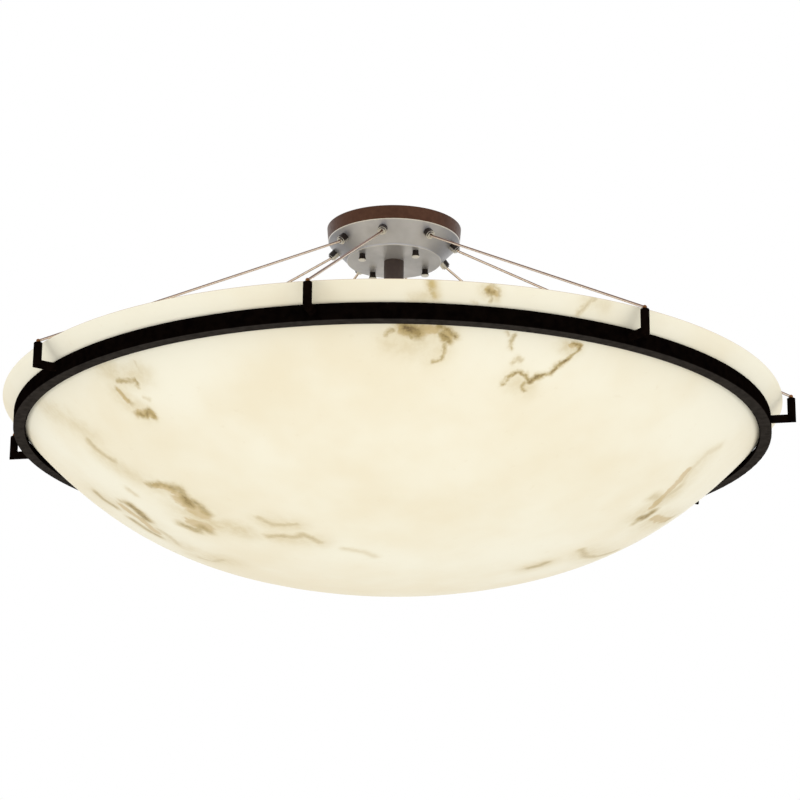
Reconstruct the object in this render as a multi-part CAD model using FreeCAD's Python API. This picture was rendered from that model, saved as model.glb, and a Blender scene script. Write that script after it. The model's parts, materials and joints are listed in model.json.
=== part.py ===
"""Semi-flush ceiling light: a wide marbled bowl in a steel ring, hung by eight cables from a ceiling canopy.

Millimetres, +Z up. The origin is on the ceiling, at the centre of the mounting plate's top face, so every
height is negative. The eight arms, grips and cables stand at multiples of 45 degrees from +X.
"""

import FreeCAD, Part
import math
import os

Vec = FreeCAD.Vector
UP = Vec(0, 0, 1)
AXIS_POINT = Vec(0, 0, 0)

# ---------------------------------------------------------------- driving dimensions, in mm
# bowl: three tangent arcs, each given by the radius where it ends and the angle of its slope there
BOWL_RIM_R = 611.0
BOWL_SHOULDER_R = 488.0
BOWL_FLOOR_R = 305.0
BOWL_RIM_ANGLE = 51.0
BOWL_SHOULDER_ANGLE = 38.5
BOWL_FLOOR_ANGLE = 17.9
BOWL_WALL = 5.0
BOWL_LIP_ROUND = 1.0
RIM_DROP = 311.0            # ceiling to the bowl's rim

# ring of rolled steel angle
RING_DROP = 27.2            # bowl rim to the ring's top edge
RING_HEIGHT = 25.4
RING_WALL = 3.2
RING_FLANGE = 19.0
RING_ROUND = 1.0
SEAT_GAP = 0.3              # between the bowl and the ring's top edge
CUT_PAST = 1.0              # how far a cutting tool runs past the face it opens

# arms of round bar, mitred at the corner
ARM_COUNT = 8
ARM_R = 6.35
ARM_REACH = 38.1            # ring face to the outside of the upright
ARM_TOP_DROP = 7.0          # bowl rim to the top of the upright
ARM_FOOT_DROP = 45.6        # bowl rim to the underside of the foot
ARM_EDGE = 0.8
ARM_SCREW_R = 2.5
ARM_SCREW_LENGTH = 16.0
ARM_SCREW_HEAD_R = 4.5
ARM_SCREW_HEAD_H = 2.6
ARM_SCREW_KEY = 3.0         # across the flats of the hexagon socket
ARM_SCREW_KEY_DEPTH = 1.4

# cables and what holds their ends
CABLE_R = 2.0
CABLE_BEND_R = 14.0
CABLE_TAIL = 14.0           # length of cable inside the canopy
CABLE_BORE_GAP = 0.3
ANCHOR_DOME_R = 3.2
ANCHOR_LIFT = 2.6           # arm top to the dome's centre
ANCHOR_NECK_R = 2.4
ANCHOR_DEPTH = 9.0
FIT_GAP = 0.05

# canopy
BAND_TOP_R = 108.0
BAND_FOOT_R = 106.2
BAND_HEIGHT = 21.4
BAND_WALL = 1.2
CONE_WALL = 1.5
CONE_DROP = 31.0
CONE_SKIRT = 9.0
CONE_LIP = 9.0
PLATE_R = 76.2
PLATE_T = 2.5
PLATE_EDGE = 0.9

# cable grips, square to the cone
GRIP_SHARE = 0.38           # place down the cone's slant, from its top
GRIP_R = 7.3
GRIP_WALL = 0.9
GRIP_LENGTH = 11.0
GRIP_EDGE = 0.6
GRIP_FRONT_WALL = 2.0
NIPPLE_DEPTH = 4.0          # how far it screws into the grip
NIPPLE_HEX = 15.0
NIPPLE_HEX_H = 4.0
NIPPLE_SEAT_GAP = 0.35
PLUNGER_NOSE_R = 5.4
PLUNGER_COLLAR_STEP = 0.7   # how far the collar stands out from the nose
PLUNGER_COLLAR_L = 2.0
PLUNGER_OUT = 2.2
PLUNGER_MOUTH_R = 3.4       # wider mouth of the nose's bore
PLUNGER_MOUTH_DEPTH = 1.5
RUN_GAP = 0.3

# mounting plate, its studs and nuts
MOUNT_RIM = 13.0            # studs' circle to the mounting plate's edge
MOUNT_T = 3.0
BOX_SCREW_SPACING = 88.9
BOX_SCREW_HOLE_R = 2.5
WINDOW_LENGTH = 46.0
WINDOW_WIDTH = 24.0
WINDOW_OFFSET = 40.0
STUD_COUNT = 4
STUD_INSET = 15.2           # plate's edge to the studs' circle
STUD_R = 2.5
STUD_END_FLUSH = 0.3
STUD_IN_NUT = 7.5
STUD_NUT_HEX = 8.7
STUD_NUT_H = 3.5
THUMB_R = 6.6               # at its lower end
THUMB_TOP_R = 4.9
THUMB_WAIST_R = 5.2         # half way down
THUMB_LENGTH = 11.2
THUMB_EDGE = 1.2
THUMB_BORE_PAST = 1.0       # bore beyond the stud's end
GROUND_SCREW_Y = -14.0
GROUND_SCREW_R = 2.0
GROUND_SCREW_LENGTH = 8.0
GROUND_HEAD_HEX = 7.0
GROUND_HEAD_H = 3.0
GROUND_WASHER_R = 4.8
GROUND_WASHER_H = 1.0

# stem, tie rod and lamp hub
STEM_R = 16.0
STEM_WALL = 1.5
ROD_R = 6.35
ROD_BORE_R = 4.5
ROD_HEAD = 9.0              # rod standing above the locknut
LOCKNUT_HEX = 22.0
LOCKNUT_H = 6.0
WASHER_R = 18.0
WASHER_T = 2.0
HUB_TOP_DROP = 69.0         # bowl rim to the hub's top
HUB_FLAT = 48.0             # hub axis to each of its flats
HUB_HEIGHT = 44.0
HUB_WALL = 2.0
COVER_T = 2.0
FINIAL_R = 11.0
FINIAL_H = 20.0
FINIAL_GRIP = 12.0          # rod inside the finial

# lampholders and lamps, along each lamp's own axis
LAMP_COUNT = 8
HOLDER_R = 18.0
HOLDER_LENGTH = 46.0
HOLDER_BORE_R = 14.2
HOLDER_BORE_DEPTH = 26.0
HOLDER_EDGE = 1.5
HOLDER_LIP_R = 19.4
HOLDER_LIP_L = 5.0
SHELL_WALL = 0.7
SHELL_END_GAP = 2.0
CONTACT_R = 3.5
CONTACT_H = 2.2
HOLDER_NIPPLE_R = 5.0
HOLDER_NIPPLE_BORE_R = 3.6
HOLDER_NIPPLE_IN = 9.0
HOLDER_NIPPLE_OUT = 6.0
HOLDER_NUT_HEX = 14.0
HOLDER_NUT_H = 3.5
CAP_R = 13.05
CAP_ROOT_R = 12.2
CAP_PITCH = 3.63
CAP_TURNS = 4
CAP_TIP_R = 4.4
CAP_TIP_H = 1.6
CAP_INSULATOR_H = 3.6
CAP_STAND = 3.0             # cap left showing outside the holder
CAP_FLARE_R = 14.4
CAP_FLARE_L = 1.0
CAP_TIP_STEP = 0.6          # tip contact to its insulator, in radius
CAP_CREST = (0.3, 0.6)      # start and end of each round's crest, in pitches
GLOBE_R = 30.0
GLOBE_CENTRE = 53.0         # globe's base to the middle of its round end
GLOBE_NECK_R = 14.2
GLOBE_WALL = 1.0


# ---------------------------------------------------------------- small helpers
def polar(radius, height):
    """A point in the section plane through +X."""
    return Vec(radius, 0, height)


def revolved(edges, point=AXIS_POINT, axis=UP):
    """The solid that a closed outline sweeps in a full turn."""
    solid = Part.Face(Part.Wire(edges)).revolve(point, axis, 360)
    return solid if solid.ShapeType == "Solid" else Part.Solid(solid.Shells[0])


def outline(points):
    """Straight edges through the points, closed."""
    loop = points + points[:1]
    return [Part.LineSegment(a, b).toShape() for a, b in zip(loop, loop[1:])]


def turned(pairs):
    """A turned solid from (radius, height) corners, about the vertical axis."""
    return revolved(outline([polar(r, z) for r, z in pairs]))


def cylinder(radius, start, end):
    along = end - start
    return Part.makeCylinder(radius, along.Length, start, along)


def tube(outer_r, inner_r, start, end):
    return cylinder(outer_r, start, end).cut(cylinder(inner_r, start, end))


def polygon(sides, flat, height=0.0):
    """Corners of a regular polygon about the vertical axis; flat is the distance to the middle of a side."""
    corner_r = flat / math.cos(math.pi / sides)
    angles = [2 * math.pi * k / sides for k in range(sides)]
    return [Vec(corner_r * math.cos(a), corner_r * math.sin(a), height) for a in angles]


def hexagon(across_flats, start, end):
    """A six-sided bar between two points."""
    along = end - start
    bar = Part.Face(Part.Wire(outline(polygon(6, across_flats / 2)))).extrude(UP * along.Length)
    bar.Placement = FreeCAD.Placement(start, FreeCAD.Rotation(UP, along))
    return bar


def spun(shape, degrees):
    copy = shape.copy()
    copy.rotate(AXIS_POINT, UP, degrees)
    return copy


def around(shape, count, first=0.0):
    """Copies of a shape, evenly spaced about the vertical axis."""
    return [spun(shape, first + 360.0 * k / count) for k in range(count)]


def cut_all(shape, tools):
    for tool in tools:
        shape = shape.cut(tool)
    return shape


def export(name, *solids):
    """Writes one node as a STEP file of one or more separate solids."""
    shape = solids[0] if len(solids) == 1 else Part.makeCompound(list(solids))
    shape.exportStep("parts/%s.step" % name)


def circle_edges(shape, radius, height):
    """The circular edges of that radius at that height."""
    return [
        e for e in shape.Edges
        if not e.Degenerated and isinstance(e.Curve, Part.Circle)
        and abs(e.Curve.Radius - radius) < 1e-4
        and abs(e.Curve.Center.z - height) < 1e-4
    ]


# ---------------------------------------------------------------- heights that follow from the above
RIM_Z = -RIM_DROP
RING_TOP_Z = RIM_Z - RING_DROP
RING_FOOT_Z = RING_TOP_Z - RING_HEIGHT
ARM_TOP_Z = RIM_Z - ARM_TOP_DROP
ARM_FOOT_Z = RIM_Z - ARM_FOOT_DROP
ARM_AXIS_Z = ARM_FOOT_Z + ARM_R
BAND_FOOT_Z = -BAND_HEIGHT
CONE_FOOT_Z = BAND_FOOT_Z - CONE_DROP
PLATE_FOOT_Z = CONE_FOOT_Z - PLATE_T
STUD_FOOT_Z = PLATE_FOOT_Z - STUD_IN_NUT
HUB_TOP_Z = RIM_Z - HUB_TOP_DROP
HUB_FOOT_Z = HUB_TOP_Z - HUB_HEIGHT
LAMP_Z = HUB_TOP_Z - HUB_HEIGHT / 2
COVER_FOOT_Z = HUB_FOOT_Z - COVER_T
ARM_ANGLE = 0.0
STUD_ANGLE = 180.0 / STUD_COUNT
STUD_CIRCLE_R = PLATE_R - STUD_INSET
MOUNT_R = STUD_CIRCLE_R + MOUNT_RIM
GRIP_CAVITY_R = GRIP_R - GRIP_WALL
NIPPLE_R = GRIP_CAVITY_R - 2 * FIT_GAP
LAMP_ANGLE = 180.0 / LAMP_COUNT


# ---------------------------------------------------------------- bowl
def bowl_arcs():
    """Centre, radius and slopes of the outer face's three arcs, from the floor to the rim."""
    ends = [(0.0, 0.0), (BOWL_FLOOR_R, BOWL_FLOOR_ANGLE),
            (BOWL_SHOULDER_R, BOWL_SHOULDER_ANGLE), (BOWL_RIM_R, BOWL_RIM_ANGLE)]
    arcs = []
    height = RIM_Z
    for (r0, slope0), (r1, slope1) in reversed(list(zip(ends, ends[1:]))):
        low, high = math.radians(slope0), math.radians(slope1)
        radius = (r1 - r0) / (math.sin(high) - math.sin(low))
        centre = polar(r1 - radius * math.sin(high), height + radius * math.cos(high))
        arcs.insert(0, (centre, radius, low, high))
        height = centre.z - radius * math.cos(low)
    return arcs


def on_arc(centre, radius, slope):
    return polar(centre.x + radius * math.sin(slope), centre.z - radius * math.cos(slope))


def bowl_face(inset):
    """The bowl's section edges, from the floor to the level of the rim, set in from the outer face."""
    edges = []
    for index, (centre, radius, low, high) in enumerate(bowl_arcs()):
        reach = radius - inset
        if index == 2:
            high = math.acos((centre.z - RIM_Z) / reach)
        middle = (low + high) / 2
        ends = [on_arc(centre, reach, slope) for slope in (low, middle, high)]
        edges.append(Part.Arc(*ends).toShape())
    return edges


def bowl_radius_at(height):
    """Radius of the outer face near the rim, at a height."""
    centre, radius, _, _ = bowl_arcs()[2]
    slope = math.acos((centre.z - height) / radius)
    return centre.x + radius * math.sin(slope), slope


def bowl():
    outer = bowl_face(0.0)
    inner = bowl_face(BOWL_WALL)
    outer_rim = outer[-1].Vertexes[-1].Point
    inner_rim = inner[-1].Vertexes[-1].Point
    outer_floor = outer[0].Vertexes[0].Point
    inner_floor = inner[0].Vertexes[0].Point
    joins = [Part.LineSegment(outer_rim, inner_rim).toShape(),
             Part.LineSegment(inner_floor, outer_floor).toShape()]
    solid = revolved(Part.__sortEdges__(outer + inner + joins))
    lip = circle_edges(solid, outer_rim.x, RIM_Z) + circle_edges(solid, inner_rim.x, RIM_Z)
    return solid.makeFillet(BOWL_LIP_ROUND, lip)


# ---------------------------------------------------------------- ring and arms
def ring_inner_r():
    """The bowl's radius at the ring's top edge, opened by the seat gap square to the bowl."""
    radius, slope = bowl_radius_at(RING_TOP_Z)
    return radius + SEAT_GAP / math.sin(slope)


RING_INNER_R = ring_inner_r()
RING_OUTER_R = RING_INNER_R + RING_WALL
ARM_OUTER_R = RING_OUTER_R + ARM_REACH
ARM_MIDDLE_R = ARM_OUTER_R - ARM_R


def arm_screw_holes():
    start = Vec(RING_INNER_R - RING_WALL, 0, ARM_AXIS_Z)
    end = Vec(RING_OUTER_R + RING_WALL, 0, ARM_AXIS_Z)
    return around(cylinder(ARM_SCREW_R + FIT_GAP, start, end), ARM_COUNT, ARM_ANGLE)


def ring():
    flange_r = RING_OUTER_R - RING_FLANGE
    solid = turned([
        (RING_INNER_R, RING_TOP_Z), (RING_OUTER_R, RING_TOP_Z), (RING_OUTER_R, RING_FOOT_Z),
        (flange_r, RING_FOOT_Z), (flange_r, RING_FOOT_Z + RING_WALL), (RING_INNER_R, RING_FOOT_Z + RING_WALL),
    ])
    corners = (circle_edges(solid, RING_OUTER_R, RING_FOOT_Z) + circle_edges(solid, RING_OUTER_R, RING_TOP_Z)
               + circle_edges(solid, flange_r, RING_FOOT_Z))
    return cut_all(solid.makeFillet(RING_ROUND, corners), arm_screw_holes())


def beyond_mitre(corner, side):
    """The half of space on one side of the arm's mitre: side 1 is up and out, side -1 is down and in."""
    reach = 6 * ARM_R
    block = Part.makeBox(reach, reach, reach, Vec(-reach / 2, -reach / 2, 0))
    block.Placement = FreeCAD.Placement(corner, FreeCAD.Rotation(UP, Vec(side, 0, side)))
    return block


def arm():
    """An L of round bar, mitred at the corner and coped to the ring's face."""
    corner = Vec(ARM_MIDDLE_R, 0, ARM_AXIS_Z)
    top = Vec(ARM_MIDDLE_R, 0, ARM_TOP_Z)
    foot = cylinder(ARM_R, Vec(RING_INNER_R, 0, ARM_AXIS_Z), corner + Vec(2 * ARM_R, 0, 0))
    upright = cylinder(ARM_R, corner - UP * 2 * ARM_R, top)
    upright = upright.makeChamfer(ARM_EDGE, circle_edges(upright, ARM_R, ARM_TOP_Z))
    bar = foot.cut(beyond_mitre(corner, 1)).fuse(upright.cut(beyond_mitre(corner, -1)))
    screw_end = Vec(RING_OUTER_R + ARM_SCREW_LENGTH, 0, ARM_AXIS_Z)
    return cut_all(bar, [
        cylinder(RING_OUTER_R, UP * (ARM_FOOT_Z - CUT_PAST), UP * (ARM_TOP_Z + CUT_PAST)),
        cylinder(ARM_SCREW_R + FIT_GAP, Vec(RING_INNER_R, 0, ARM_AXIS_Z), screw_end),
        cylinder(ANCHOR_NECK_R + FIT_GAP, top - UP * (ANCHOR_DEPTH + FIT_GAP), top + UP * CUT_PAST),
    ]).removeSplitter()


def arm_screw():
    """A socket-head screw from inside the ring into the arm's foot."""
    head_face = RING_INNER_R - FIT_GAP
    head_end = head_face - ARM_SCREW_HEAD_H
    tip = RING_OUTER_R + ARM_SCREW_LENGTH - 2 * ARM_SCREW_R
    head = cylinder(ARM_SCREW_HEAD_R, Vec(head_end, 0, ARM_AXIS_Z), Vec(head_face, 0, ARM_AXIS_Z))
    rim = [e for e in head.Edges if abs(e.BoundBox.XMax - head_end) < 1e-6]
    head = head.makeFillet(ARM_SCREW_HEAD_H / 3, rim)
    shank = cylinder(ARM_SCREW_R, Vec(head_face, 0, ARM_AXIS_Z), Vec(tip, 0, ARM_AXIS_Z))
    key = hexagon(ARM_SCREW_KEY, Vec(head_end - CUT_PAST, 0, ARM_AXIS_Z),
                  Vec(head_end + ARM_SCREW_KEY_DEPTH, 0, ARM_AXIS_Z))
    return head.fuse(shank).cut(key).removeSplitter()


# ---------------------------------------------------------------- canopy
SLANT = Vec(PLATE_R - BAND_FOOT_R, 0, CONE_FOOT_Z - BAND_FOOT_Z)
SLANT_ANGLE = math.atan2(-SLANT.z, -SLANT.x)
GRIP_AXIS = Vec(math.sin(SLANT_ANGLE), 0, -math.cos(SLANT_ANGLE))
GRIP_BASE = polar(BAND_FOOT_R, BAND_FOOT_Z) + SLANT * GRIP_SHARE


def along_grip(distance):
    """A point on the grip's axis, measured out from the cone's face."""
    return GRIP_BASE + GRIP_AXIS * distance


def canopy_band():
    """The tapered outer wall, from the ceiling to the cone's shoulder."""
    return turned([(BAND_TOP_R - BAND_WALL, 0), (BAND_TOP_R, 0),
                   (BAND_FOOT_R, BAND_FOOT_Z), (BAND_FOOT_R - BAND_WALL, BAND_FOOT_Z)])


def canopy_cone():
    """A pressed cone with a skirt up inside the band and a flat lip that the plate closes."""
    skirt_r = BAND_FOOT_R - BAND_WALL - FIT_GAP
    wall_r = CONE_WALL / math.sin(SLANT_ANGLE)
    lip_top = CONE_FOOT_Z + CONE_WALL
    slope = (BAND_FOOT_R - PLATE_R) / CONE_DROP
    inner_foot_r = PLATE_R - wall_r + CONE_WALL * slope
    inner_shoulder_r = skirt_r - CONE_WALL
    inner_shoulder_z = BAND_FOOT_Z + (inner_shoulder_r - (BAND_FOOT_R - wall_r)) / slope
    solid = turned([
        (skirt_r, BAND_FOOT_Z), (BAND_FOOT_R, BAND_FOOT_Z), (PLATE_R, CONE_FOOT_Z),
        (PLATE_R - CONE_LIP, CONE_FOOT_Z), (PLATE_R - CONE_LIP, lip_top), (inner_foot_r, lip_top),
        (inner_shoulder_r, inner_shoulder_z), (inner_shoulder_r, BAND_FOOT_Z + CONE_SKIRT),
        (skirt_r, BAND_FOOT_Z + CONE_SKIRT),
    ])
    hole = cylinder(NIPPLE_R + FIT_GAP, along_grip(-2 * CONE_WALL), along_grip(CONE_WALL))
    return cut_all(solid, around(hole, ARM_COUNT, ARM_ANGLE))


def stud_places():
    """The studs' axes, as points on the ceiling plane."""
    angles = [math.radians(STUD_ANGLE + 360.0 * k / STUD_COUNT) for k in range(STUD_COUNT)]
    return [Vec(STUD_CIRCLE_R * math.cos(a), STUD_CIRCLE_R * math.sin(a), 0) for a in angles]


def canopy_plate():
    """The flat round plate under the cone, held by the thumb nuts."""
    solid = turned([(0, CONE_FOOT_Z), (PLATE_R, CONE_FOOT_Z), (PLATE_R, PLATE_FOOT_Z), (0, PLATE_FOOT_Z)])
    solid = solid.makeChamfer(PLATE_EDGE, circle_edges(solid, PLATE_R, PLATE_FOOT_Z))
    above, below = UP * (CONE_FOOT_Z + CUT_PAST), UP * (PLATE_FOOT_Z - CUT_PAST)
    holes = [cylinder(STUD_R + RUN_GAP, p + above, p + below) for p in stud_places()]
    return cut_all(solid, holes + [cylinder(ROD_R + FIT_GAP, above, below)])


def through_mount(radius, x, y):
    """A cutting tool straight down through the mounting plate."""
    return cylinder(radius, Vec(x, y, CUT_PAST), Vec(x, y, -MOUNT_T - CUT_PAST))


def wiring_window(y):
    """A slot with round ends through the mounting plate."""
    straight = (WINDOW_LENGTH - WINDOW_WIDTH) / 2
    corner = Vec(-straight, y - WINDOW_WIDTH / 2, -MOUNT_T - CUT_PAST)
    middle = Part.makeBox(2 * straight, WINDOW_WIDTH, MOUNT_T + 2 * CUT_PAST, corner)
    return [middle] + [through_mount(WINDOW_WIDTH / 2, x, y) for x in (-straight, straight)]


def mounting_plate():
    """A round steel plate with box screw holes, stud holes and two windows for the house wiring."""
    solid = turned([(0, 0), (MOUNT_R, 0), (MOUNT_R, -MOUNT_T), (0, -MOUNT_T)])
    cuts = [through_mount(BOX_SCREW_HOLE_R, x, 0) for x in (-BOX_SCREW_SPACING / 2, BOX_SCREW_SPACING / 2)]
    cuts += [through_mount(STUD_R + FIT_GAP, p.x, p.y) for p in stud_places()]
    cuts.append(through_mount(GROUND_SCREW_R + FIT_GAP, 0, GROUND_SCREW_Y))
    return cut_all(solid, cuts + wiring_window(-WINDOW_OFFSET) + wiring_window(WINDOW_OFFSET))


def mounting_studs():
    return [cylinder(STUD_R, p - UP * STUD_END_FLUSH, p + UP * STUD_FOOT_Z) for p in stud_places()]


def stud_nuts():
    nuts = []
    for p in stud_places():
        nut = hexagon(STUD_NUT_HEX, p - UP * MOUNT_T, p - UP * (MOUNT_T + STUD_NUT_H))
        nuts.append(nut.cut(cylinder(STUD_R + FIT_GAP, p, p - UP * (MOUNT_T + STUD_NUT_H + CUT_PAST))))
    return nuts


def thumb_nut():
    """A flared thumb nut with a blind bore, its wide end down."""
    top, foot = PLATE_FOOT_Z, PLATE_FOOT_Z - THUMB_LENGTH
    bore_r, bore_end = STUD_R + FIT_GAP, STUD_FOOT_Z - THUMB_BORE_PAST
    waist = polar(THUMB_WAIST_R, (top + foot) / 2)
    side = Part.Arc(polar(THUMB_TOP_R, top), waist, polar(THUMB_R, foot + THUMB_EDGE))
    corner = [polar(THUMB_R, foot + THUMB_EDGE), polar(THUMB_R - THUMB_EDGE, foot), polar(0, foot),
              polar(0, bore_end), polar(bore_r, bore_end), polar(bore_r, top), polar(THUMB_TOP_R, top)]
    edges = [side.toShape()] + [Part.LineSegment(a, b).toShape() for a, b in zip(corner, corner[1:])]
    return revolved(edges)


def thumb_nuts():
    nuts = []
    for p in stud_places():
        nut = thumb_nut()
        nut.translate(p)
        nuts.append(nut)
    return nuts


def ground_screw():
    """The earth screw, with a washer under its hexagon head, up into the mounting plate."""
    axis = Vec(0, GROUND_SCREW_Y, 0)
    washer_foot = -MOUNT_T - GROUND_WASHER_H
    shank = cylinder(GROUND_SCREW_R, axis - UP * STUD_END_FLUSH, axis + UP * washer_foot)
    washer = cylinder(GROUND_WASHER_R, axis - UP * MOUNT_T, axis + UP * washer_foot)
    head = hexagon(GROUND_HEAD_HEX, axis + UP * washer_foot, axis + UP * (washer_foot - GROUND_HEAD_H))
    return shank.fuse(washer).fuse(head).removeSplitter()


# ---------------------------------------------------------------- cable grips
def grip():
    """The grip's outer sleeve: a cavity for the collar and a smaller front opening for the nose."""
    body = cylinder(GRIP_R, along_grip(FIT_GAP), along_grip(GRIP_LENGTH))
    front = [e for e in body.Edges if isinstance(e.Curve, Part.Circle)
             and (e.Curve.Center - along_grip(GRIP_LENGTH)).Length < 1e-4]
    body = body.makeFillet(GRIP_EDGE, front)
    cavity = cylinder(GRIP_CAVITY_R, along_grip(0), along_grip(GRIP_LENGTH - GRIP_FRONT_WALL))
    mouth = cylinder(PLUNGER_NOSE_R + RUN_GAP, along_grip(0), along_grip(GRIP_LENGTH + CUT_PAST))
    return cut_all(body, [cavity, mouth])


def nipple():
    """A hollow hexagon-head screw from inside the canopy into the grip."""
    head_face = -CONE_WALL - NIPPLE_SEAT_GAP
    head = hexagon(NIPPLE_HEX, along_grip(head_face - NIPPLE_HEX_H), along_grip(head_face))
    shank = cylinder(NIPPLE_R, along_grip(head_face), along_grip(NIPPLE_DEPTH))
    bore = cylinder(CABLE_R + CABLE_BORE_GAP, along_grip(head_face - NIPPLE_HEX_H - CUT_PAST),
                    along_grip(NIPPLE_DEPTH + CUT_PAST))
    return head.fuse(shank).cut(bore).removeSplitter()


def plunger():
    """The release nose: pressed in, it frees the cable."""
    stop = GRIP_LENGTH - GRIP_FRONT_WALL - RUN_GAP
    tip = GRIP_LENGTH + PLUNGER_OUT
    collar_r = PLUNGER_NOSE_R + PLUNGER_COLLAR_STEP
    collar = cylinder(collar_r, along_grip(stop - PLUNGER_COLLAR_L), along_grip(stop))
    nose = cylinder(PLUNGER_NOSE_R, along_grip(stop), along_grip(tip))
    edge = [e for e in nose.Edges if isinstance(e.Curve, Part.Circle)
            and (e.Curve.Center - along_grip(tip)).Length < 1e-4]
    nose = nose.makeFillet(GRIP_EDGE, edge)
    bore = cylinder(CABLE_R + CABLE_BORE_GAP, along_grip(0), along_grip(tip + CUT_PAST))
    mouth = cylinder(PLUNGER_MOUTH_R, along_grip(tip - PLUNGER_MOUTH_DEPTH), along_grip(tip + CUT_PAST))
    return cut_all(collar.fuse(nose), [bore, mouth]).removeSplitter()


# ---------------------------------------------------------------- cables and anchors
CABLE_END = Vec(ARM_MIDDLE_R, 0, ARM_TOP_Z + ANCHOR_LIFT)


def cable_bend():
    """Start, middle and end of the small bend where the cable leaves the nose, and the run's direction."""
    start = along_grip(GRIP_LENGTH + PLUNGER_OUT + RUN_GAP)
    side = Vec(-GRIP_AXIS.z, 0, GRIP_AXIS.x)
    centre = start + side * CABLE_BEND_R
    to_end = CABLE_END - centre
    lean = math.asin(CABLE_BEND_R / to_end.Length)
    run_angle = math.atan2(to_end.z, to_end.x) + lean
    grip_angle = math.atan2(GRIP_AXIS.z, GRIP_AXIS.x)

    def at(angle):
        return centre + Vec(math.sin(angle), 0, -math.cos(angle)) * CABLE_BEND_R

    return start, at((run_angle + grip_angle) / 2), at(run_angle)


def cable():
    """One taut cable: straight through the grip, a slight bend, then straight to its anchor."""
    start, middle, end = cable_bend()
    tail = along_grip(-CABLE_TAIL)
    path = Part.Wire([Part.LineSegment(tail, start).toShape(), Part.Arc(start, middle, end).toShape(),
                      Part.LineSegment(end, CABLE_END).toShape()])
    section = Part.Wire(Part.Circle(tail, GRIP_AXIS, CABLE_R).toShape())
    solid = path.makePipeShell([section], True, False)
    ideal = math.pi * CABLE_R ** 2 * path.Length
    print("cable: length %.1f, volume over section times length %.5f" % (path.Length, solid.Volume / ideal))
    return solid


def anchor():
    """A low dome on a stub that stands in the arm's top, with a blind hole for the cable's end."""
    top = Vec(ARM_MIDDLE_R, 0, ARM_TOP_Z)
    below = cylinder(2 * ANCHOR_DOME_R, top - UP * 2 * ANCHOR_DOME_R, top)
    dome = Part.makeSphere(ANCHOR_DOME_R, CABLE_END).cut(below)
    neck = cylinder(ANCHOR_NECK_R, top - UP * ANCHOR_DEPTH, CABLE_END)
    _, _, end = cable_bend()
    back = (CABLE_END - end).normalize() * FIT_GAP
    return dome.fuse(neck).cut(cylinder(CABLE_R + FIT_GAP, CABLE_END + back, end)).removeSplitter()


# ---------------------------------------------------------------- stem and hub
def stem_tube():
    return tube(STEM_R, STEM_R - STEM_WALL, UP * PLATE_FOOT_Z, UP * HUB_TOP_Z)


LOCKNUT_TOP_Z = CONE_FOOT_Z + WASHER_T + LOCKNUT_H
ROD_TOP_Z = LOCKNUT_TOP_Z + ROD_HEAD
ROD_FOOT_Z = COVER_FOOT_Z - FINIAL_GRIP


def tie_rod():
    return tube(ROD_R, ROD_BORE_R, UP * ROD_FOOT_Z, UP * ROD_TOP_Z)


def rod_washer():
    return tube(WASHER_R, ROD_R + FIT_GAP, UP * CONE_FOOT_Z, UP * (CONE_FOOT_Z + WASHER_T))


def rod_locknut():
    nut = hexagon(LOCKNUT_HEX, UP * (CONE_FOOT_Z + WASHER_T), UP * LOCKNUT_TOP_Z)
    return nut.cut(cylinder(ROD_R + FIT_GAP, UP * CONE_FOOT_Z, UP * (LOCKNUT_TOP_Z + CUT_PAST)))


def many_sided(flat, low, high):
    """An upright bar with one flat for each lamp."""
    return Part.Face(Part.Wire(outline(polygon(LAMP_COUNT, flat, low)))).extrude(UP * (high - low))


def lamp_hub():
    """A cup with its open side down: the lampholders stand on its flats."""
    solid = many_sided(HUB_FLAT, HUB_FOOT_Z, HUB_TOP_Z)
    solid = solid.cut(many_sided(HUB_FLAT - HUB_WALL, HUB_FOOT_Z - CUT_PAST, HUB_TOP_Z - HUB_WALL))
    rod_hole = cylinder(ROD_R + FIT_GAP, UP * (HUB_TOP_Z - 2 * HUB_WALL), UP * (HUB_TOP_Z + CUT_PAST))
    nipple_hole = cylinder(HOLDER_NIPPLE_R + FIT_GAP, Vec(HUB_FLAT - 2 * HUB_WALL, 0, LAMP_Z),
                           Vec(HUB_FLAT + CUT_PAST, 0, LAMP_Z))
    return cut_all(solid, [rod_hole] + around(nipple_hole, LAMP_COUNT, LAMP_ANGLE))


def hub_cover():
    solid = many_sided(HUB_FLAT, COVER_FOOT_Z, HUB_FOOT_Z)
    return solid.cut(cylinder(ROD_R + FIT_GAP, UP * (COVER_FOOT_Z - CUT_PAST), UP * (HUB_FOOT_Z + CUT_PAST)))


def finial():
    """The round-ended nut under the hub, on the rod's lower end."""
    foot = COVER_FOOT_Z - FINIAL_H
    centre = foot + FINIAL_R
    middle = FINIAL_R * math.sqrt(0.5)
    bore_r, bore_end = ROD_R + FIT_GAP, ROD_FOOT_Z - FIT_GAP
    dome = Part.Arc(polar(FINIAL_R, centre), polar(middle, centre - middle), polar(0, foot)).toShape()
    corner = [polar(0, foot), polar(0, bore_end), polar(bore_r, bore_end), polar(bore_r, COVER_FOOT_Z),
              polar(FINIAL_R, COVER_FOOT_Z), polar(FINIAL_R, centre)]
    return revolved([dome] + [Part.LineSegment(a, b).toShape() for a, b in zip(corner, corner[1:])])


# ---------------------------------------------------------------- lampholders and lamps
HOLDER_MOUTH = HUB_FLAT + HOLDER_LENGTH
BORE_END = HOLDER_MOUTH - HOLDER_BORE_DEPTH
CAP_TIP = BORE_END + CONTACT_H + RUN_GAP
CAP_END = HOLDER_MOUTH + CAP_STAND
GLOBE_BASE = CAP_END + RUN_GAP


def lamp_point(distance, radius=0.0):
    """A point in a lamp's section: distance out from the stem's axis, radius from the lamp's own axis."""
    return Vec(distance, 0, LAMP_Z + radius)


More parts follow.
